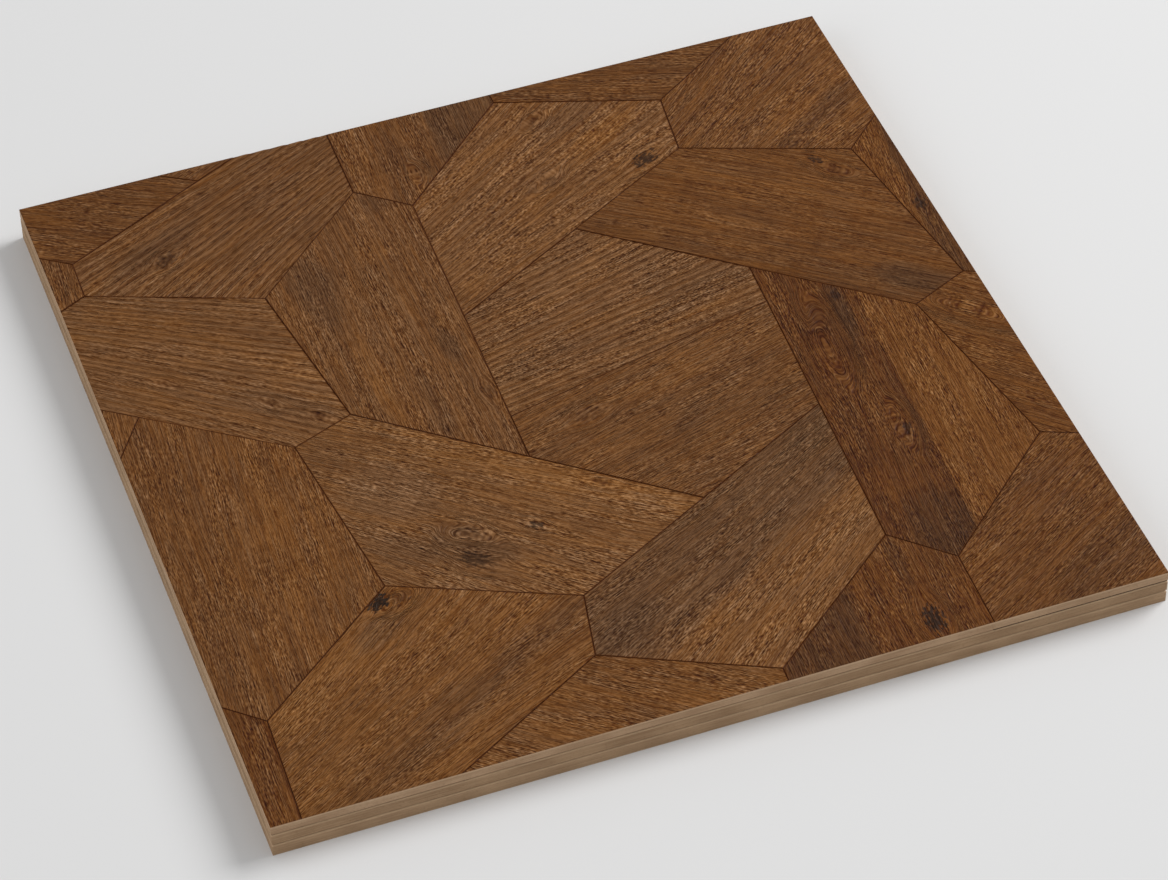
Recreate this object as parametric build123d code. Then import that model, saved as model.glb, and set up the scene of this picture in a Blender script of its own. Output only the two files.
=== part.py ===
# A square parquet floor panel: stained oak blocks in a six-sided rosette, glued on a core and a backing layer.
# Millimetres, +Z up. The origin is at the middle of the underside, +X and +Y run along the panel's edges.
import os
from math import cos, radians, sin

from build123d import *

# The panel and its three layers, from the underside up
panel_side = 450.0
backing_thickness = 7.0
core_thickness = 7.0
face_thickness = 6.0
layer_ease = 0.7  # chamfer on the outer edges where two layers meet

# The joints between the face blocks
joint_gap = 0.2
micro_bevel = 0.35

# The layout of the blocks. A corner near the middle is measured from the panel's centre, and a corner further
# out from an edge of the panel: along that edge from its middle, then inwards. Bearings are degrees from +X
# towards +Y.

# The ring of six blocks round the centre, clockwise from the top. A block's long joint starts at a corner
# of the centre and ends at the block's tip, the block then turns at its toe and its heel, and it comes back
# along its neighbour's long joint.
ring_tip = [(116.5, 147.5), (186.5, -9), (108, -154), (-42.5, -140), (-109, 17), (-30.5, 154.5)]
long_joint_bearing = [29, -39, -92.6, -152.3, 141, 88.6]
ring_toe = [
    ("north", 121.5, 37),
    ("east", 5.5, 6),
    ("south", 135, 45.5),
    ("south", -50.5, 47),
    ("west", 4.5, 83),
    ("north", -56.5, 49.5),
]
ring_heel = [
    ("north", 36.5, 7),
    ("east", 114.5, 23),
    ("east", -116, 18),
    ("south", 29, 8),
    ("west", -100.5, 95.5),
    ("west", 113.5, 101),
]

# Where the joints that leave the ring run off the panel
toe_run_bearing = [33.4, -27, -91.6, -150.2, 144.2, 89]
heel_run_bearing = [90, 43, -22.3, -93]

# The joint that splits the centre in two
split_point = (41, 4)
split_bearing = 12.4

# The joints west of the ring: a corner on each, and the bearing on which it runs off the panel
north_point = ("north", -131, 11.5)
high_corner = ("west", 173.5, 15)
low_corner = ("west", 148, 14.5)
west_point = ("west", 52.5, 16.5)
south_corner = ("west", -163, 17.5)
north_run_bearing = 148.3
high_joint_bearing = 26.7
high_run_bearing = 144.7
low_run_bearing = 206.2
west_run_bearing = -123.2
south_west_run_bearing = 138.4
south_run_bearing = -92.5


def from_edge(edge, along, inwards):
    """A point of the layout that is measured from one of the panel's edges."""
    outwards = panel_side / 2 - inwards
    if edge == "north":
        return along, outwards
    if edge == "east":
        return outwards, along
    if edge == "south":
        return along, -outwards
    return -outwards, along


def crossing(point_a, bearing_a, point_b, bearing_b):
    """Where two joints, each given by a point and a bearing, cross on the layout."""
    ax, ay = cos(radians(bearing_a)), sin(radians(bearing_a))
    bx, by = cos(radians(bearing_b)), sin(radians(bearing_b))
    dx, dy = point_b[0] - point_a[0], point_b[1] - point_a[1]
    along = (dx * by - dy * bx) / (ax * by - ay * bx)
    return point_a[0] + along * ax, point_a[1] + along * ay


def run_off(corner, bearing):
    """The far end of a joint that leaves a corner for the panel's edge and is carried well past it."""
    reach = panel_side / 2
    return corner[0] + reach * cos(radians(bearing)), corner[1] + reach * sin(radians(bearing))


def centre_corners():
    """The corners of the centre, each where a long joint meets the one before it."""
    return [
        crossing(ring_tip[i - 1], long_joint_bearing[i - 1], ring_tip[i], long_joint_bearing[i])
        for i in range(len(ring_tip))
    ]


def centre_outlines():
    """The two blocks that fill the centre, either side of the split."""
    hub = centre_corners()
    split_left = crossing(split_point, split_bearing, ring_tip[5], long_joint_bearing[5])
    split_right = crossing(split_point, split_bearing, ring_tip[2], long_joint_bearing[2])
    return {
        "centre_block_upper": [split_left, hub[0], hub[1], hub[2], split_right],
        "centre_block_lower": [split_right, hub[3], hub[4], hub[5], split_left],
    }


def ring_outlines():
    """The six blocks of the ring."""
    hub = centre_corners()
    toe = [from_edge(*corner) for corner in ring_toe]
    heel = [from_edge(*corner) for corner in ring_heel]
    return {
        f"ring_block_{i + 1}": [hub[i], ring_tip[i], toe[i], heel[i], ring_tip[i - 1]]
        for i in range(len(ring_tip))
    }


def edge_outlines():
    """The blocks that the panel's edges cut, clockwise from the top left corner, drawn well past those edges."""
    tip = ring_tip
    toe = [from_edge(*corner) for corner in ring_toe]
    heel = [from_edge(*corner) for corner in ring_heel]
    high = from_edge(*high_corner)
    low = from_edge(*low_corner)
    south = from_edge(*south_corner)
    toe_end = [run_off(corner, bearing) for corner, bearing in zip(toe, toe_run_bearing)]
    heel_end = [run_off(corner, bearing) for corner, bearing in zip(heel, heel_run_bearing)]
    north_end = run_off(from_edge(*north_point), north_run_bearing)
    high_end = run_off(high, high_run_bearing)
    south_west_end = run_off(south, south_west_run_bearing)
    north = crossing(from_edge(*north_point), north_run_bearing, high, high_joint_bearing)
    north_tip = crossing(high, high_joint_bearing, toe[5], toe_run_bearing[5])
    south_tip = crossing(toe[3], toe_run_bearing[3], south, south_run_bearing)
    south_west_tip = crossing(south, south_west_run_bearing, from_edge(*west_point), west_run_bearing)
    west = crossing(from_edge(*west_point), west_run_bearing, toe[4], toe_run_bearing[4])
    west_tip = crossing(toe[4], toe_run_bearing[4], low, low_run_bearing)
    outlines = [
        [high, high_end, north_end, north],
        [north, north_end, toe_end[5], north_tip],
        [heel[5], low, high, north_tip, toe[5]],
        [toe[5], toe_end[5], heel_end[0], heel[0], tip[5]],
        [heel[0], heel_end[0], toe_end[0], toe[0]],
        [toe[0], toe_end[0], heel_end[1], heel[1], tip[0]],
        [heel[1], heel_end[1], toe_end[1], toe[1]],
        [toe[1], toe_end[1], heel_end[2], heel[2], tip[1]],
        [heel[2], heel_end[2], toe_end[2], toe[2]],
        [toe[2], toe_end[2], heel_end[3], heel[3], tip[2]],
        [heel[3], heel_end[3], toe_end[3], toe[3]],
        [toe[3], south_tip, south, heel[4], tip[3]],
        [south, south_tip, toe_end[3], south_west_end],
        [heel[4], south, south_west_tip, west, toe[4]],
        [west, south_west_tip, south_west_end, toe_end[4]],
        [toe[4], west_tip, low, heel[5], tip[4]],
        [low, west_tip, toe_end[4], high_end, high],
    ]
    return {f"edge_block_{i + 1:02d}": outline for i, outline in enumerate(outlines)}


def slab(bottom, thickness, ease_below, ease_above):
    """A full layer of the panel, eased on its outer edges where it meets another layer."""
    layer = Pos(0, 0, bottom) * Box(
        panel_side, panel_side, thickness, align=(Align.CENTER, Align.CENTER, Align.MIN)
    )
    levels = layer.edges().filter_by(Plane.XY).group_by(Axis.Z)
    eased = (levels[0] if ease_below else []) + (levels[-1] if ease_above else [])
    return chamfer(eased, layer_ease)


def face_block(outline, blank):
    """One block: its outline drawn in by half the joint, bevelled along its top edges and trimmed to the panel."""
    drawn = make_face(Polyline(*outline, close=True))
    footprint = offset(drawn, -joint_gap / 2, kind=Kind.INTERSECTION)
    bottom = backing_thickness + core_thickness
    prism = Pos(0, 0, bottom) * extrude(footprint, face_thickness)
    prism = chamfer(prism.edges().group_by(Axis.Z)[-1], micro_bevel)
    return blank & prism


def main():
    face_bottom = backing_thickness + core_thickness
    face_blank = slab(face_bottom, face_thickness, ease_below=True, ease_above=False)
    nodes = {
        "backing_layer": slab(0, backing_thickness, ease_below=False, ease_above=True),
        "core_layer": slab(backing_thickness, core_thickness, ease_below=True, ease_above=True),
    }
    outlines = {**centre_outlines(), **ring_outlines(), **edge_outlines()}
    for name, outline in outlines.items():
        nodes[name] = face_block(outline, face_blank)
    os.makedirs("parts", exist_ok=True)
    for name, solid in nodes.items():
        export_step(solid, f"parts/{name}.step")


main()
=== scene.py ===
# Looks of the parquet floor panel: brushed stained oak blocks on raw wood layers, lying on a pale floor.
import math

import bpy
import numpy as np
from mathutils import Matrix, Vector


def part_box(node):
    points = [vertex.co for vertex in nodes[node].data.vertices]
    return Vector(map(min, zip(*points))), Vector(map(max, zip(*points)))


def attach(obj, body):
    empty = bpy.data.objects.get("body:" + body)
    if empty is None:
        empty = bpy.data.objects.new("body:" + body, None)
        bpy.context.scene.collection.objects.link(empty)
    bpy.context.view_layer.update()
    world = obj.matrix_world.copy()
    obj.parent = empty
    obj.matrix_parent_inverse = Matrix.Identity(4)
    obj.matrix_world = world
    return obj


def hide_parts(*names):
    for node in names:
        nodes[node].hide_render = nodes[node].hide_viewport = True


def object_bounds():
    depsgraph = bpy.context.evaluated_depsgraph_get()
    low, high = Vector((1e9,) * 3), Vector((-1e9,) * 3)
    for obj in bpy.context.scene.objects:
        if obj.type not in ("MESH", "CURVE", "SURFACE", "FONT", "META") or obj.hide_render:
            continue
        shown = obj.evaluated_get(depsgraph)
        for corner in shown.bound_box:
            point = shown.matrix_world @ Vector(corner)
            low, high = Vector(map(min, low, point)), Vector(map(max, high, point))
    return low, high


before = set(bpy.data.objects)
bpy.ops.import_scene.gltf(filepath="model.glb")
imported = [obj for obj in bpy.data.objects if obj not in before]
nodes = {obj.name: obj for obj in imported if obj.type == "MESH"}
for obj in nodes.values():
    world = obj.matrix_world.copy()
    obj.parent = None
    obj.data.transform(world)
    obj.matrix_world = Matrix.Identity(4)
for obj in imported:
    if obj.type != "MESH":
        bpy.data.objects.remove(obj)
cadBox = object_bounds()
mm = 0.001
cadLow, cadHigh = (corner / mm for corner in cadBox)
half = (cadHigh.x - cadLow.x) / 2  # from the panel's centre to its edges, in millimetres
print("frame loaded:", len(nodes), "pieces")


# Shader sums: a wire is one socket's value, and sums of wires add Math nodes
class Wire:
    def __init__(self, shader, socket):
        self.shader = shader
        self.socket = socket

    def math(self, operation, first, second):
        return self.shader.node("ShaderNodeMath", {"operation": operation}, {0: first, 1: second})

    def __add__(self, other):
        return self.math("ADD", self, other)

    def __radd__(self, other):
        return self.math("ADD", other, self)

    def __sub__(self, other):
        return self.math("SUBTRACT", self, other)

    def __rsub__(self, other):
        return self.math("SUBTRACT", other, self)

    def __mul__(self, other):
        return self.math("MULTIPLY", self, other)

    def __rmul__(self, other):
        return self.math("MULTIPLY", other, self)

    def __truediv__(self, other):
        return self.math("DIVIDE", self, other)

    def __rtruediv__(self, other):
        return self.math("DIVIDE", other, self)

    def __abs__(self):
        return self.shader.node("ShaderNodeMath", {"operation": "ABSOLUTE"}, {0: self})


class Shader:
    seedSlide = (7.31, -3.17)  # how far a seed slides a noise along and across

    def __init__(self, name):
        self.material = bpy.data.materials.new(name)
        self.material.use_nodes = True
        self.tree = self.material.node_tree
        self.tree.nodes.clear()

    def node(self, kind, settings, sockets, output=0):
        made = self.tree.nodes.new(kind)
        for key, value in settings.items():
            if key == "stops":  # a colour ramp's places and colours
                while len(made.color_ramp.elements) < len(value):
                    made.color_ramp.elements.new(0.5)
                for stop, (place, colour) in zip(made.color_ramp.elements, value):
                    stop.position = place
                    stop.color = paint(colour)
            else:
                setattr(made, key, value)
        for key, value in sockets.items():
            if isinstance(value, Wire):
                self.tree.links.new(value.socket, made.inputs[key])
            else:
                made.inputs[key].default_value = value
        return Wire(self, made.outputs[output]) if made.outputs else None

    def noise(self, u, v, mark, seed):  # one kind of mark, from a table such as oakNoise
        along, across, ownSeed, detail, roughness = mark
        slideU, slideV = ((seed + ownSeed) * slide for slide in self.seedSlide)
        place = self.node("ShaderNodeCombineXYZ", {}, {0: u / along + slideU, 1: v / across + slideV})
        return self.node(
            "ShaderNodeTexNoise",
            {"noise_dimensions": "2D"},
            {"Vector": place, "Scale": 1.0, "Detail": detail, "Roughness": roughness},
        )

    def step(self, value, low, high):
        return self.node(
            "ShaderNodeMapRange",
            {"interpolation_type": "SMOOTHSTEP"},
            {"Value": value, "From Min": low, "From Max": high},
        )

    def mix(self, factor, first, second):
        return self.node("ShaderNodeMix", {"data_type": "RGBA"}, {0: factor, 6: first, 7: second}, 2)

    def attribute(self, label):  # a value that the mesh carries on its points
        return self.node("ShaderNodeAttribute", {"attribute_name": label}, {}, "Fac")

    def axis(self, vector, index):
        return self.node("ShaderNodeSeparateXYZ", {}, {0: vector}, index)

    def grainPlace(self, centre, angle):  # millimetres along and across the grain, from a point of the panel
        place = self.node("ShaderNodeTexCoord", {}, {}, "Object")
        turned = self.node(
            "ShaderNodeMapping",
            {"vector_type": "TEXTURE"},
            {"Vector": place, "Location": centre * mm, "Rotation": (0, 0, angle), "Scale": (mm, mm, mm)},
        )
        return self.axis(turned, 0), self.axis(turned, 1)

    def finish(self, colour, roughness, height, bumpDepth, shine):
        sockets = {"Strength": 1.0, "Distance": bumpDepth * mm, "Height": height}
        bump = self.node("ShaderNodeBump", {}, sockets)
        surface = self.node(
            "ShaderNodeBsdfPrincipled",
            {},
            {"Base Color": colour, "Roughness": roughness, "Normal": bump, "Specular IOR Level": shine},
        )
        self.node("ShaderNodeOutputMaterial", {}, {"Surface": surface})
        return self.material


def paint(colour):  # 0 to 255 as seen on a screen, to the linear values that a socket takes
    linear = [(c / 255 / 12.92) if c <= 10 else ((c / 255 + 0.055) / 1.055) ** 2.4 for c in colour]
    return (*linear, 1.0)


def blend(marks, shares, base):  # marks added up, each by its share
    total = base
    for kind, share in shares.items():
        total = total + marks[kind] * share
    return total


# The stain: two ranges of brown, from the pores to the brushed ridges with their painted highlights
stain = {
    "cool": [
        (0.0, (38, 8, 0)),
        (0.25, (66, 33, 7)),
        (0.5, (96, 61, 31)),
        (0.75, (126, 89, 57)),
        (1.0, (156, 117, 83)),
    ],
    "warm": [
        (0.0, (48, 10, 0)),
        (0.25, (77, 35, 3)),
        (0.5, (107, 63, 20)),
        (0.75, (137, 91, 46)),
        (1.0, (167, 119, 72)),
    ],
    "joint": (66, 29, 0),
    "jointFrom": (0.5, 0.7),  # from the stain beside a joint, 0, to the joint itself, 1
    "seep": (92, 48, 2),  # stain that gathers beside a joint
    "seepFrom": (0.0, 0.6),
    "seepShare": 0.55,
    "gloom": (44, 28, 17),  # the grey that dark zones lean to
    "gloomShare": 2.8,
    "knot": (40, 26, 16),
    "shine": 0.1,
    "bumpDepth": 0.6,
}

# Marks of the grain: length along it and width across it in millimetres, own seed, detail and roughness
oakNoise = {
    "sway": (150, 55, 0, 1, 0.5),
    "ripple": (38, 14, 1, 1, 0.5),
    "quiver": (9, 4, 8, 1, 0.5),
    "knotRim": (3, 1.5, 0, 2, 0.6),
    "broad": (190, 14, 2, 2, 0.6),
    "rings": (170, 3, 3, 1, 0.5),
    "streaks": (85, 1, 4, 1, 0.5),
    "splits": (70, 1.8, 10, 1, 0.5),
    "grit": (2.4, 0.6, 11, 0, 0.5),
    "strokes": (7.5, 0.75, 12, 0, 0.5),
    "bite": (55, 11, 13, 1, 0.5),
    "pores": (7, 0.5, 5, 0, 0.5),
    "glints": (22, 0.62, 9, 0, 0.5),
    "mottle": (30, 16, 6, 2, 0.6),
    "tinge": (60, 2.6, 14, 2, 0.6),
    "wobble": (40, 30, 7, 3, 0.5),
}

# What shows of the marks: how far the grain moves in millimetres, where a noise turns into a mark, and the
# share of each mark in the tone, the warmth, the roughness and the bump
oakLook = {
    "wander": {"sway": 6, "ripple": 1.2, "quiver": 0.25},
    "creaseFrom": (0.0, 0.075),
    "biteFrom": (0.35, 0.65),
    "biteLeast": 0.5,
    "poresFrom": (0.62, 0.72),
    "glintsFrom": (0.58, 0.7),
    "brushed": {"grit": 0.43, "strokes": 0.31},
    "tone": {"broad": 0.08, "brushed": 1, "mottle": 0.07, "sparkle": 0.09, "pores": -0.14},
    "calmTone": {"rings": 0.14, "streaks": 0.33, "creases": -0.1},  # less of these on ridged blocks
    "calming": 0.7,
    "toneBase": 0.55,
    "warmth": {"broad": 0.3, "mottle": 0.55, "tinge": 0.7, "glints": -0.2},
    "warmthBase": 0.5,
    "roughness": {"pores": 0.2, "creases": 0.1},
    "roughnessBase": 0.52,
    "bump": {"streaks": 0.8, "brushed": 1.6, "pores": -0.5, "creases": -0.3, "glints": 0.3},
}

# Knots, as multiples of a knot's size or of its darkness
knotLook = {
    "length": 2.2,
    "width": 1.3,
    "reach": 1.6,  # how far out the grain parts, and by how much
    "parting": 0.6,
    "ragged": 4,
    "core": 3.2,
    "fade": 1.4,
    "dark": 1.3,
    "toneShare": 0.4,
    "warmthShare": 0.5,
    "full": 0.6,  # darkness at which only the knot's own colour shows
}

# Painted light and shade on the brushed ridges: tone painted paler towards the crest and darker in the
# grooves, and palest on the crest as a painted highlight
crestShading = {
    "middle": 0.4,
    "plainShadingShare": 0.06,
    "ridgeShadingShare": 0.65,
    "crestHighlightFrom": (0.62, 0.95),
    "crestHighlightShare": 0.16,
}

# Bands and spots: how ragged their borders are, and where a spot fades out
zoneLook = {
    "wobble": 2,
    "bandRagged": 0.6,
    "spotRagged": 0.35,
    "spotFade": (0.1, 1.1),
}

# The face blocks: grain bearing in degrees, tone (dark to light) and warmth (grey to orange) as shifts of the
# stain, ridge depth and pitch in millimetres. A fan spreads the grain, and fibre, stroke and grit make its
# marks wider, longer and stronger. Bands run along the grain from a point of the panel and spots lie at one:
# both shift tone and warmth. The rings close round an eye, and a knot is a dark spot that they flow round.
blocks = {
    "centre_block_upper": {
        "grain": 12, "tone": 0.08, "warm": -0.1, "ridge": 0.5, "pitch": 4.7,
        "fan": 0.0015, "grit": 1.3, "stroke": 0.7,
        "spots": [(90, 46, 40, 14, -0.04, -0.05), (75, 24, 30, 6, 0.02, 0.12)],
    },
    "centre_block_lower": {
        "grain": 15, "tone": 0.025, "warm": 0, "ridge": 0.05, "pitch": 4.5,
        "spots": [(60, -52, 70, 14, -0.04, 0), (70, -5, 60, 12, 0.02, 0.1)],
        "knots": [(3, -26, 7, 0.12)],
    },
    "ring_block_1": {
        "grain": 31, "tone": 0.09, "warm": 0, "ridge": 0.38, "pitch": 4.8,
        "fan": 0.0027, "fibre": 1.9, "stroke": 0.7,
        "spots": [(82, 172, 34, 9, 0.03, 0.3), (70, 192, 30, 10, -0.05, -0.2)],
        "eyes": [(52, 195, 14, 6, 3), (44, 147, 16, 7, 4)],
        "knots": [(52, 195, 5, 0.1), (43, 147, 5, 0.16), (33, 143, 4, 0.12), (97, 146, 7, 0.32)],
    },
    "ring_block_2": {
        "grain": -36, "tone": -0.02, "warm": 0.1, "ridge": 0.06, "pitch": 5,
        "fibre": 1.3, "grit": 0.6,
        "bands": [(100, 78, -26, 7, -0.045, -0.05)],
        "spots": [(197, 8, 26, 12, -0.09, -0.3), (125, 44, 25, 4, 0.03, 0.3)],
        "eyes": [(186, 100, 16, 7, 4)],
        "knots": [(181, 113, 4, 0.3), (189, 100, 5, 0.1)],
    },
    "ring_block_3": {
        "grain": 87, "tone": -0.15, "warm": 0.12, "ridge": 0.05, "pitch": 4,
        "bands": [(157.5, -60, -80, 0.8, 0.13, 0.3)],
        "spots": [(136, -160, 34, 22, -0.11, -0.25), (150, 5, 30, 5, -0.1, -0.5)],
        "eyes": [(137, -22, 40, 11, 9), (148, -86, 26, 8, 6)],
        "knots": [(137, 8, 7, 0.05), (147, -90, 4, 0.25), (150, 12, 4, 0.2)],
    },
    "ring_block_4": {
        "grain": 32, "tone": 0.095, "warm": 0.12, "ridge": 0.1, "pitch": 3.4,
        "fan": -0.003, "grit": 1.3,
        "bands": [(33, -156, 90, 5, -0.09, -0.3)],
        "spots": [(-30, -168, 30, 16, -0.06, -0.2)],
    },
    "ring_block_5": {
        "grain": -39, "tone": 0.095, "warm": -0.05, "ridge": 0.25, "pitch": 3.8,
        "fan": 0.002, "grit": 1.3,
        "bands": [(-42, -66, 60, 7, 0.02, 0.1)],
        "spots": [
            (-35, -50, 80, 21, 0.04, 0.2), (-108, -42, 30, 22, 0.03, -0.35),
            (-82, -90, 30, 16, -0.07, -0.3), (-112, -82, 22, 12, -0.04, -0.25),
        ],
        "eyes": [(-83, -88, 22, 13, 6)],
        "knots": [(-81, -80, 7, 0.15), (-83, -99, 8, 0.24), (-48, -88, 4, 0.3), (-8, -71, 5, 0.15)],
    },
    "ring_block_6": {
        "grain": 91, "tone": 0.03, "warm": -0.05, "ridge": 0.05, "pitch": 4,
        "spots": [
            (-99, 112, 40, 14, -0.07, -0.3), (-47, 47, 16, 6, -0.08, -0.25), (-48, 168, 14, 12, -0.06, -0.2),
            (-87, 36, 40, 8, 0.03, 0.2), (-66, 3, 40, 6, -0.05, -0.05),
        ],
        "knots": [(-39, 9, 5, 0.15)],
    },
    "edge_block_01": {"grain": -28, "tone": -0.03, "warm": 0, "ridge": 0.08, "pitch": 4},
    "edge_block_02": {"grain": 28, "tone": 0.02, "warm": 0, "ridge": 0.08, "pitch": 4},
    "edge_block_03": {
        "grain": 29, "tone": 0.05, "warm": -0.1, "ridge": 0.55, "pitch": 4.4,
        "fan": -0.003, "grit": 0.65,
        "spots": [(-168, 168, 40, 12, -0.05, -0.2)],
        "knots": [(-163, 160, 6, 0.2)],
    },
    "edge_block_04": {
        "grain": 89, "tone": 0.01, "warm": 0, "ridge": 0.05, "pitch": 4,
        "bands": [(-3, 190, -60, 3, -0.1, -0.3)],
        "eyes": [(-19, 178, 14, 6, 4)],
        "knots": [(-19, 178, 5, 0.1)],
    },
    "edge_block_05": {"grain": -20, "tone": -0.02, "warm": 0.05, "ridge": 0.08, "pitch": 4},
    "edge_block_06": {
        "grain": 36, "tone": 0, "warm": 0.15, "ridge": 0.1, "pitch": 4.4,
        "fan": 0.003, "fibre": 1.3,
        "spots": [(192, 144, 50, 8, -0.05, -0.1)],
        "knots": [(175, 129, 5, 0.13)],
    },
    "edge_block_07": {
        "grain": 84, "tone": -0.05, "warm": 0.45, "ridge": 0.05, "pitch": 4,
        "bands": [(216, 60, -40, 3, -0.12, -0.3)],
        "knots": [(219, 62, 5, 0.25)],
    },
    "edge_block_08": {
        "grain": -43, "tone": -0.05, "warm": 0.2, "ridge": 0.1, "pitch": 3.6,
        "eyes": [(208, -26, 34, 10, 8)],
    },
    "edge_block_09": {
        "grain": 31, "tone": -0.04, "warm": 0.15, "ridge": 0.1, "pitch": 4.4,
        "spots": [(205, -205, 60, 18, -0.05, -0.12)],
    },
    "edge_block_10": {
        "grain": 88, "tone": -0.1, "warm": 0.25, "ridge": 0.04, "pitch": 4,
        "bands": [(76, -200, 80, 6, -0.1, -0.35)],
        "spots": [(107, -171, 26, 5, -0.09, -0.2)],
        "knots": [(108, -213, 8, 0.35)],
    },
    "edge_block_11": {"grain": -38, "tone": 0.04, "warm": 0.1, "ridge": 0.1, "pitch": 3.6, "grit": 1.25},
    "edge_block_12": {
        "grain": 31, "tone": 0.065, "warm": 0.26, "ridge": 0.06, "pitch": 4,
        "fan": 0.003,
        "bands": [(-100, -166, -18, 9, -0.06, -0.2)],
        "spots": [(-141, -128, 20, 10, -0.08, -0.3), (-178, -152, 60, 22, 0.03, 0.15)],
        "eyes": [(-126, -113, 16, 8, 4)],
        "knots": [(-136, -110, 6, 0.42), (-124, -110, 7, 0.16)],
    },
    "edge_block_13": {"grain": 89, "tone": -0.07, "warm": 0.15, "ridge": 0.08, "pitch": 4},
    "edge_block_14": {
        "grain": 87, "tone": 0.015, "warm": 0.1, "ridge": 0.06, "pitch": 3.6,
        "bands": [(-160, -40, 14, 4, 0.03, 0.15), (-196, -90, 40, 8, -0.03, 0)],
    },
    "edge_block_15": {"grain": 85, "tone": 0.05, "warm": 0.05, "ridge": 0.06, "pitch": 4},
    "edge_block_16": {
        "grain": -33, "tone": 0.105, "warm": -0.1, "ridge": 0.52, "pitch": 4.2,
        "fan": 0.003, "grit": 0.8,
        "spots": [(-140, 36, 40, 10, -0.05, -0.15), (-175, 108, 50, 9, 0.02, 0.15)],
        "knots": [(-144, 39, 5, 0.07), (-123, 21, 5, 0.07), (-190, 72, 4, 0.05)],
    },
    "edge_block_17": {"grain": 86, "tone": 0, "warm": 0, "ridge": 0.05, "pitch": 4},
}


def apart(u, v, point, length, width):  # 0 at a point, 1 on the ellipse round it
    du = (u - point.x) / length
    dv = (v - point.y) / width
    return du * du + dv * dv


def grainFlow(shader, block, u, v, pointOf, seed):  # the place across the grain as it wanders, and the knots
    across = v * (1 - u * block.get("fan", 0))
    for kind, reach in oakLook["wander"].items():
        across = across + (shader.noise(u, v, oakNoise[kind], seed) - 0.5) * reach
    for x, y, length, width, lift in block.get("eyes", []):
        away = apart(u, v, pointOf(x, y), length, width)
        across = across + (1 - shader.step(away, 0.0, 1.0)) * lift
    knotDark = None
    for x, y, size, dark in block.get("knots", []):
        point = pointOf(x, y)
        away = apart(u, v, point, size * knotLook["length"], size * knotLook["width"])
        parted = (1 - shader.step(away, 0.0, knotLook["reach"])) * knotLook["parting"]
        across = across - (v - point.y) * parted
        ragged = (shader.noise(u, v, oakNoise["knotRim"], seed + x) - 0.5) * knotLook["ragged"]
        spot = 1 - shader.step(away * knotLook["core"] + ragged, 0.0, knotLook["fade"])
        spot = spot * (dark * knotLook["dark"])
        knotDark = spot if knotDark is None else knotDark + spot
    return across, knotDark


def oakMarks(shader, block, u, v, across, seed):
    fibre = block.get("fibre", 1)
    stroke = block.get("stroke", 1)

    def noise(kind, side=across, stretch=1, spread=1):
        along, wide, *rest = oakNoise[kind]
        return shader.noise(u, side, (along * stretch, wide * spread, *rest), seed)

    bite = shader.step(noise("bite"), *oakLook["biteFrom"])  # the brush bites in zones
    lively = (bite + oakLook["biteLeast"]) * block.get("grit", 1)
    glints = shader.step(noise("glints"), *oakLook["glintsFrom"])
    brushed = {kind: noise(kind, across, stroke, fibre) - 0.5 for kind in oakLook["brushed"]}
    splits = noise("splits", spread=fibre) - 0.5
    return {
        "broad": noise("broad") - 0.5,
        "rings": noise("rings") - 0.5,
        "streaks": noise("streaks", spread=fibre) - 0.5,
        "creases": 1 - shader.step(abs(splits), *oakLook["creaseFrom"]),
        "brushed": blend(brushed, oakLook["brushed"], 0) * lively,
        "pores": shader.step(noise("pores"), *oakLook["poresFrom"]),
        "glints": glints,
        "sparkle": glints * lively,
        "mottle": noise("mottle", v) - 0.5,
        "tinge": noise("tinge") - 0.5,
    }


def zoneMasks(shader, block, u, v, pointOf, seed):  # bands and spots, each with its shifts of tone and warmth
    wobble = (shader.noise(u, v, oakNoise["wobble"], seed) - 0.5) * zoneLook["wobble"]
    masks = []
    for x, y, width, soft, toneShift, warmShift in block.get("bands", []):
        start = pointOf(x, y).y
        low, high = sorted((start, start + width))
        ragged = v + wobble * (soft * zoneLook["bandRagged"])
        begun = shader.step(ragged, low - soft, low + soft)
        ended = shader.step(ragged, high - soft, high + soft)
        masks.append((begun * (1 - ended), toneShift, warmShift))
    for x, y, length, width, toneShift, warmShift in block.get("spots", []):
        away = apart(u, v, pointOf(x, y), length, width) + wobble * zoneLook["spotRagged"]
        masks.append((1 - shader.step(away, *zoneLook["spotFade"]), toneShift, warmShift))
    return masks


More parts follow.
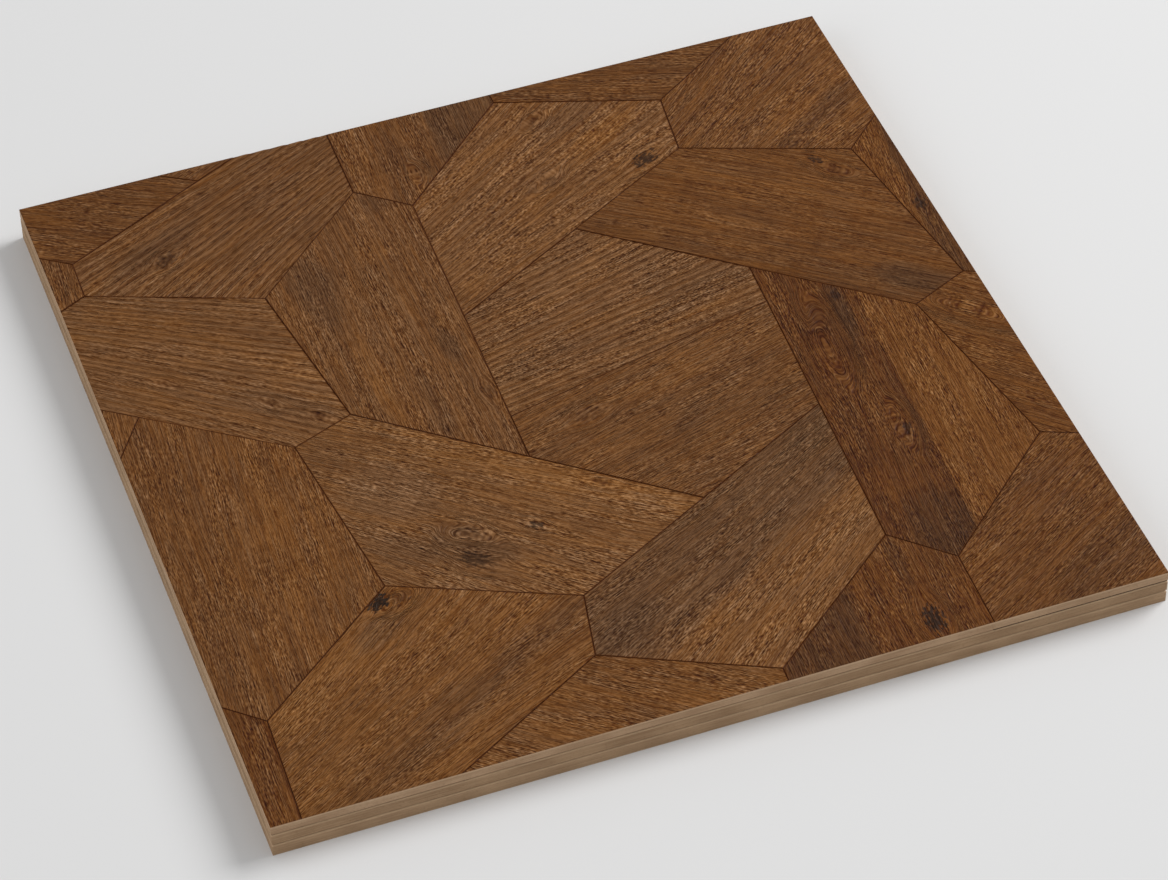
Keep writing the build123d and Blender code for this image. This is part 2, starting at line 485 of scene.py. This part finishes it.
def stainedOak(name, block, centre, seed):
    shader = Shader(name)
    angle = math.radians(block["grain"])
    u, v = shader.grainPlace(centre, angle)

    def pointOf(x, y):  # a point of the panel, along and across this block's grain
        return Matrix.Rotation(-angle, 2) @ (Vector((x, y)) - centre.xy)

    across, knotDark = grainFlow(shader, block, u, v, pointOf, seed)
    marks = oakMarks(shader, block, u, v, across, seed)
    calm = 1 - block["ridge"] * oakLook["calming"]
    calmShares = {kind: share * calm for kind, share in oakLook["calmTone"].items()}
    tone = blend(marks, {**oakLook["tone"], **calmShares}, oakLook["toneBase"] + block["tone"])
    warmth = blend(marks, oakLook["warmth"], oakLook["warmthBase"] + block["warm"])
    gloom = 0
    for inside, toneShift, warmShift in zoneMasks(shader, block, u, v, pointOf, seed):
        warmth = warmth + inside * warmShift
        if toneShift > 0:
            tone = tone + inside * toneShift
        else:
            gloom = gloom + inside * -toneShift
    if knotDark:
        tone = tone - knotDark * knotLook["toneShare"]
        warmth = warmth - knotDark * knotLook["warmthShare"]
    relief = shader.attribute("relief")  # 0 in the deepest groove, 1 on the highest ridge
    # Painted shade in the grooves and painted highlight on the crests of the brushed ridges, taken from the
    # relief
    ridgeShadingShare = crestShading["plainShadingShare"] + block["ridge"] * crestShading["ridgeShadingShare"]
    tone = tone + (relief - crestShading["middle"]) * ridgeShadingShare
    tone = tone + shader.step(relief, *crestShading["crestHighlightFrom"]) * (block["ridge"] * crestShading["crestHighlightShare"])

    cool = shader.node("ShaderNodeValToRGB", {"stops": stain["cool"]}, {0: tone})
    warm = shader.node("ShaderNodeValToRGB", {"stops": stain["warm"]}, {0: tone})
    colour = shader.mix(shader.step(warmth, 0.0, 1.0), cool, warm)
    if gloom:
        colour = shader.mix(gloom * stain["gloomShare"], colour, paint(stain["gloom"]))
    if knotDark:
        colour = shader.mix(shader.step(knotDark, 0.0, knotLook["full"]), colour, paint(stain["knot"]))
    joint = shader.attribute("joint")  # 0 on the face, 1 in the joint
    seeped = shader.step(joint, *stain["seepFrom"]) * stain["seepShare"]
    colour = shader.mix(seeped, colour, paint(stain["seep"]))
    colour = shader.mix(shader.step(joint, *stain["jointFrom"]), colour, paint(stain["joint"]))
    roughness = blend(marks, oakLook["roughness"], oakLook["roughnessBase"])
    height = blend(marks, oakLook["bump"], 0)
    return shader.finish(colour, roughness, height, stain["bumpDepth"], stain["shine"])


# The sawn edges: raw wood with the layers' own tones, heights and widths in millimetres
sawn = {
    "face": {"light": (187, 155, 123), "dark": (157, 125, 94), "roughness": 0.72, "seed": 3},
    "core": {"light": (174, 143, 110), "dark": (142, 112, 82), "roughness": 0.78, "seed": 17},
    "backing": {"light": (180, 149, 116), "dark": (148, 118, 88), "roughness": 0.78, "seed": 29},
    "seams": (7, 14),  # heights where the layers meet
    "top": 19.6,
    "paintedHighlight": (214, 184, 150),  # painted highlight along the upper corner of each layer, where it faces up to the light
    "highlightDrop": 0.55,  # how far below a seam or the top that shows, where it fades and how strong it is
    "highlightFade": (0.1, 0.6),
    "highlightShare": 0.4,
    "glueAndShade": (74, 52, 35),  # glue lines and painted shade darken the corner above a seam, where the chamfer faces down
    "glueShadeRise": 0.15,
    "glueShadeFade": (0.05, 0.45),
    "glueShadeShare": 0.7,
    "flatFrom": (0.8, 0.95),  # how level a face is to take the underside's grain
    "flatGrain": 0.25,
    "drift": 1.5,
    "flecksFrom": (0.58, 0.75),
    "blend": {"lines": 1.1, "patches": 0.9, "flecks": -0.35},
    "fleckRoughness": 0.1,
    "fleckBump": 0.6,
    "bumpDepth": 0.12,
    "shine": 0.25,
}

# Its marks, as in oakNoise
sawnNoise = {
    "drift": (60, 6, 0, 2, 0.5),
    "lines": (34, 0.55, 1, 3, 0.6),
    "patches": (26, 12, 2, 2, 0.5),
    "flecks": (1.6, 0.25, 3, 2, 0.5),
}


def rawWood(name, layer):
    look = sawn[layer]
    seed = look["seed"]
    shader = Shader(name)
    place = shader.node("ShaderNodeTexCoord", {}, {}, "Object")
    x, y, z = (shader.axis(place, i) / mm for i in range(3))
    facing = shader.node("ShaderNodeNewGeometry", {}, {}, "Normal")
    flat = shader.step(abs(shader.axis(facing, 2)), *sawn["flatFrom"])
    run = x + y * (1 - flat)  # along either pair of edges, and along X on the underside
    rise = z * (1 - flat) + y * flat * sawn["flatGrain"]
    drift = (shader.noise(run, rise, sawnNoise["drift"], seed) - 0.5) * sawn["drift"]
    flecks = shader.step(shader.noise(run, rise, sawnNoise["flecks"], seed), *sawn["flecksFrom"])
    marks = {
        "lines": shader.noise(run, rise + drift, sawnNoise["lines"], seed) - 0.5,
        "patches": shader.noise(run, rise, sawnNoise["patches"], seed) - 0.5,
        "flecks": flecks,
    }
    lightness = shader.step(blend(marks, sawn["blend"], 0.5), 0.0, 1.0)
    colour = shader.mix(lightness, paint(look["dark"]), paint(look["light"]))
    # Painted highlight: the upper corner of each layer and the top corner painted lighter
    for height in (*sawn["seams"], sawn["top"]):
        away = abs(z - (height - sawn["highlightDrop"]))
        paintedHighlight = (1 - shader.step(away, *sawn["highlightFade"])) * sawn["highlightShare"]
        colour = shader.mix(paintedHighlight, colour, paint(sawn["paintedHighlight"]))
    # Glue lines, with painted shade on the downward-facing corner just above each seam
    for height in sawn["seams"]:
        away = abs(z - (height + sawn["glueShadeRise"]))
        glueShade = (1 - shader.step(away, *sawn["glueShadeFade"])) * sawn["glueShadeShare"]
        colour = shader.mix(glueShade, colour, paint(sawn["glueAndShade"]))
    roughness = look["roughness"] + flecks * sawn["fleckRoughness"]
    bump = marks["lines"] - flecks * sawn["fleckBump"]
    return shader.finish(colour, roughness, bump, sawn["bumpDepth"], sawn["shine"])


# Block modelling, in millimetres: a grid along the grain, cut to the block's outline, brushed and closed
blockMesh = {
    "stepAlong": 2.4,
    "stepAcross": 0.5,
    "margin": 4,  # spare grid before it is cut
    "bevel": 0.35,  # along the joints
    "arris": 0.25,  # rubbed edge along the panel's own sides
    "layerEase": 0.7,  # lower corner on the panel's own sides
    "glueFill": 0.08,  # how far glue and stain fill a joint from either side
    "seep": 0.45,  # how far stain gathers past a joint's bevel
    "hair": 0.01,  # what counts as on the panel's edge or on a cut
    "square": 0.9999,  # and as square to the panel
    "straight": 0.02,  # a corner of the outline turns more than this
    "smoothAngle": 28,
    "sideTilt": 0.3,  # faces that look up less than this are sides
    "firstSeed": 5,
    "seedStep": 11,
}

# The brush: wander and unevenness as length along the grain, width across it and amount
brush = {
    "sway": (90, 40, 4),
    "ripple": (22, 8, 0.9),
    "steepSide": 0.26,  # part of a ridge's pitch that its steep side takes
    "chatterLength": 24,
    "chatter": 0.25,
    "swell": (110, 30, 0.45),
    "fibres": (14, 1.3, 0.05),
}


def outlineOf(node):  # the block's widest outline, anticlockwise
    points = sorted({(round(p.co.x / mm, 3), round(p.co.y / mm, 3)) for p in nodes[node].data.vertices})

    def chain(ordered):
        kept = []
        for p in ordered:
            while len(kept) > 1:
                a, b = kept[-2], kept[-1]
                turn = (b[0] - a[0]) * (p[1] - a[1]) - (b[1] - a[1]) * (p[0] - a[0])
                if turn > blockMesh["straight"]:
                    break
                kept.pop()
            kept.append(p)
        return kept[:-1]

    return [Vector(p) for p in chain(points) + chain(points[::-1])]


def sidesOf(outline):  # a point on each side, its way out, its slope, and whether it is the panel's own edge
    sides = []
    for a, b in zip(outline, outline[1:] + outline[:1]):
        direction = (b - a).normalized()
        outward = Vector((direction.y, -direction.x))
        reach = min(max(abs(p.x), abs(p.y)) for p in (a, b))
        isSquare = max(abs(outward.x), abs(outward.y)) > blockMesh["square"]
        if isSquare and reach > half - blockMesh["hair"]:
            sides.append((a, outward, blockMesh["arris"], True))
        else:
            sides.append((a + outward * blockMesh["glueFill"], outward, blockMesh["bevel"], False))
    return sides


def latticeNoise(u, v, seed):  # smooth noise between 0 and 1 over arrays of places
    iu, iv = np.floor(u), np.floor(v)
    fu, fv = u - iu, v - iv
    fu, fv = fu * fu * (3 - 2 * fu), fv * fv * (3 - 2 * fv)

    def corner(a, b):  # scrambles a corner's place into a number that looks random
        mixed = np.sin(a * 127.1 + b * 311.7 + seed * 74.7) * 43758.5453
        return mixed - np.floor(mixed)

    low = corner(iu, iv) * (1 - fu) + corner(iu + 1, iv) * fu
    high = corner(iu, iv + 1) * (1 - fu) + corner(iu + 1, iv + 1) * fu
    return low * (1 - fv) + high * fv


def brushedRelief(block, u, v, seed):  # how far below the face, as positive depths
    wander = 0
    for shift, (length, width, amount) in enumerate((brush["sway"], brush["ripple"])):
        wander = wander + (latticeNoise(u / length, v / width, seed + shift) - 0.5) * amount
    v = v * (1 - u * block.get("fan", 0))
    ridges = (v + wander) / block["pitch"]
    turn = ridges - np.floor(ridges)
    crest = np.minimum(turn / brush["steepSide"], (1 - turn) / (1 - brush["steepSide"]))
    chatter = latticeNoise(u / brush["chatterLength"], ridges * 2, seed + 2)
    chatter = 1 - brush["chatter"] + brush["chatter"] * chatter
    length, width, amount = brush["swell"]
    swell = 1 - amount + amount * latticeNoise(u / length, v / width, seed + 3)
    length, width, depth = brush["fibres"]
    fibres = latticeNoise(u / length, v / width, seed + 4) * depth
    return block["ridge"] * (1 - crest * chatter * swell) + fibres


def coordinates(piece):
    places = np.empty(len(piece.data.vertices) * 3)
    piece.data.vertices.foreach_get("co", places)
    return places.reshape(-1, 3) / mm


def moveTo(piece, places):
    piece.data.vertices.foreach_set("co", (places * mm).ravel())


def grainGrid(node, outline, angle, top):  # a grid along the grain that covers the block
    turned = [Matrix.Rotation(-angle, 2) @ p for p in outline]
    lowU, highU = min(p.x for p in turned), max(p.x for p in turned)
    lowV, highV = min(p.y for p in turned), max(p.y for p in turned)
    middle = Matrix.Rotation(angle, 2) @ Vector(((lowU + highU) / 2, (lowV + highV) / 2))
    sizeU = highU - lowU + blockMesh["margin"]
    sizeV = highV - lowV + blockMesh["margin"]
    bpy.ops.object.select_all(action="DESELECT")
    bpy.ops.mesh.primitive_grid_add(
        x_subdivisions=math.ceil(sizeU / blockMesh["stepAlong"]),
        y_subdivisions=math.ceil(sizeV / blockMesh["stepAcross"]),
        size=1,
        location=(middle.x * mm, middle.y * mm, top * mm),
        rotation=(0, 0, angle),
    )
    piece = bpy.context.object
    piece.name = node + "_oak"
    piece.scale = (sizeU * mm, sizeV * mm, 1)  # the grid comes a metre wide
    bpy.ops.object.transform_apply(location=True, rotation=True, scale=True)
    return piece


def trimGrid(sides, top):  # edges where the stain gathers and where the slope begins, then off with the rest
    bpy.ops.object.mode_set(mode="EDIT")
    for point, outward, slope, atEdge in sides:
        for inset, cutOff in ((slope + blockMesh["seep"], False), (slope, False), (0, True)):
            spot = point - outward * inset
            bpy.ops.mesh.select_all(action="SELECT")
            bpy.ops.mesh.bisect(
                plane_co=(spot.x * mm, spot.y * mm, top * mm),
                plane_no=(outward.x, outward.y, 0),
                clear_outer=cutOff,
                threshold=blockMesh["hair"] * mm,
            )
    bpy.ops.object.mode_set(mode="OBJECT")


def brushFace(piece, block, sides, centre, angle, top, seed):  # down along the grain, with its borders sloped
    places = coordinates(piece)
    places[:, :2] = np.clip(places[:, :2], -half, half)
    x, y = places[:, 0] - centre.x, places[:, 1] - centre.y
    u = x * math.cos(angle) + y * math.sin(angle)
    v = y * math.cos(angle) - x * math.sin(angle)
    depth = brushedRelief(block, u, v, seed)
    relief = 1 - depth / depth.max()
    joint = np.zeros(len(places))
    for point, outward, slope, atEdge in sides:
        away = (point.x - places[:, 0]) * outward.x + (point.y - places[:, 1]) * outward.y
        depth = np.maximum(depth, slope - away)
        if not atEdge:
            joint = np.maximum(joint, 1 - away / (slope + blockMesh["seep"]))
    places[:, 2] = top - depth
    moveTo(piece, places)
    for label, values in (("relief", relief), ("joint", joint)):
        field = piece.data.attributes.new(label, "FLOAT", "POINT")
        field.data.foreach_set("value", values.astype(np.float32))


def selectRim():
    bpy.ops.object.mode_set(mode="EDIT")
    bpy.ops.mesh.select_mode(type="EDGE")
    bpy.ops.mesh.select_all(action="DESELECT")
    bpy.ops.mesh.select_non_manifold(extend=False)


def closeBlock(piece, bottom):  # sides down to the eased lower corner, the ease, then the underside
    ease = blockMesh["layerEase"]
    for height, inset in ((bottom + ease, 0), (bottom, ease)):
        count = len(piece.data.vertices)
        selectRim()
        bpy.ops.mesh.extrude_region_move(TRANSFORM_OT_translate={"value": (0, 0, -mm)})
        bpy.ops.object.mode_set(mode="OBJECT")
        places = coordinates(piece)
        rim = places[count:]
        rim[:, 2] = height
        for axis in (0, 1):
            onEdge = np.abs(rim[:, axis]) > half - blockMesh["hair"]
            rim[onEdge, axis] -= np.sign(rim[onEdge, axis]) * inset
        moveTo(piece, places)
    selectRim()
    bpy.ops.mesh.edge_face_add()
    bpy.ops.mesh.select_all(action="SELECT")
    bpy.ops.mesh.normals_make_consistent(inside=False)
    bpy.ops.object.mode_set(mode="OBJECT")
    bpy.ops.object.shade_smooth_by_angle(angle=math.radians(blockMesh["smoothAngle"]))


def faceBlock(node, block, seed):
    outline = outlineOf(node)
    sides = sidesOf(outline)
    centre = Vector((*(sum(outline, Vector((0, 0))) / len(outline)), 0))
    bottom, top = ((corner / mm).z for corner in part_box(node))
    angle = math.radians(block["grain"])
    piece = grainGrid(node, outline, angle, top)
    trimGrid(sides, top)
    brushFace(piece, block, sides, centre, angle, top, seed)
    closeBlock(piece, bottom)
    piece.data.materials.append(stainedOak("stained_oak_" + node, block, centre, seed))
    piece.data.materials.append(rawFace)
    for face in piece.data.polygons:  # the panel's own sides are bare wood
        outer = max(abs(face.center.x), abs(face.center.y)) > (half - blockMesh["layerEase"]) * mm
        face.material_index = 1 if outer and face.normal.z < blockMesh["sideTilt"] else 0
    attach(piece, "root")
    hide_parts(node)


rawFace = rawWood("sawn_face_edge", "face")
for count, (node, block) in enumerate(blocks.items()):
    faceBlock(node, block, blockMesh["firstSeed"] + count * blockMesh["seedStep"])
print("face blocks brushed:", len(blocks))

for node, layer in (("core_layer", "core"), ("backing_layer", "backing")):
    nodes[node].data.materials.clear()
    nodes[node].data.materials.append(rawWood("sawn_" + layer, layer))
print("layers finished")


# Stage: a pale floor under a soft lamp on the right and a weaker one on the left, in metres
stage = {
    "floorSize": 8,
    "floorColour": (216, 216, 216),
    "floorRoughness": 0.9,
    "floorShine": 0.1,
    "world": 0.455,
    "key": {"place": (3.25, 0.6, 2.8), "size": 2.6, "power": 160},
    "fill": {"place": (-2.6, -0.8, 1.9), "size": 2.4, "power": 26},
}


def pourFloor():
    bpy.ops.object.select_all(action="DESELECT")
    bpy.ops.mesh.primitive_plane_add(size=stage["floorSize"], location=(0, 0, 0))
    floor = bpy.context.object
    floor.name = "floor"
    shader = Shader("pale_floor")
    surface = shader.node(
        "ShaderNodeBsdfPrincipled",
        {},
        {
            "Base Color": paint(stage["floorColour"]),
            "Roughness": stage["floorRoughness"],
            "Specular IOR Level": stage["floorShine"],
        },
    )
    shader.node("ShaderNodeOutputMaterial", {}, {"Surface": surface})
    floor.data.materials.append(shader.material)


def hangLamp(name):
    look = stage[name]
    lamp = bpy.data.lights.new(name, "AREA")
    lamp.shape = "DISK"
    lamp.size = look["size"]
    lamp.energy = look["power"]
    holder = bpy.data.objects.new(name, lamp)
    holder.location = look["place"]
    holder.rotation_euler = (-Vector(look["place"])).to_track_quat("-Z", "Y").to_euler()
    bpy.context.scene.collection.objects.link(holder)


pourFloor()
hangLamp("key")
hangLamp("fill")
world = bpy.data.worlds.new("studio")
world.use_nodes = True
background = world.node_tree.nodes["Background"]
background.inputs["Color"].default_value = (1, 1, 1, 1)
background.inputs["Strength"].default_value = stage["world"]
bpy.context.scene.world = world
print("stage lit")

# Camera: the photograph's angle, turned about its own axis by the photograph's slight tilt
view = {
    "aim": (-6.3, -41.5, 20),
    "azimuth": 19.44,
    "elevation": 44.91,
    "distance": 2072,
    "tilt": -0.92,
    "lens": 128.93,
    "sensor": 36,
    "sight": 50,  # metres that the camera sees
}
azimuth, elevation = math.radians(view["azimuth"]), math.radians(view["elevation"])
forward = Vector((
    math.sin(azimuth) * math.cos(elevation),
    math.cos(azimuth) * math.cos(elevation),
    -math.sin(elevation),
))
lensData = bpy.data.cameras.new("camera")
lensData.lens = view["lens"]
lensData.sensor_width = view["sensor"]
lensData.clip_end = view["sight"]
camera = bpy.data.objects.new("camera", lensData)
tilt = Matrix.Rotation(math.radians(view["tilt"]), 3, "Z")
turn = forward.to_track_quat("-Z", "Y").to_matrix() @ tilt
stand = (Vector(view["aim"]) - forward * view["distance"]) * mm
camera.matrix_world = Matrix.Translation(stand) @ turn.to_4x4()
bpy.context.scene.collection.objects.link(camera)
bpy.context.scene.camera = camera
bpy.context.scene.view_settings.view_transform = "Standard"
print("camera placed")
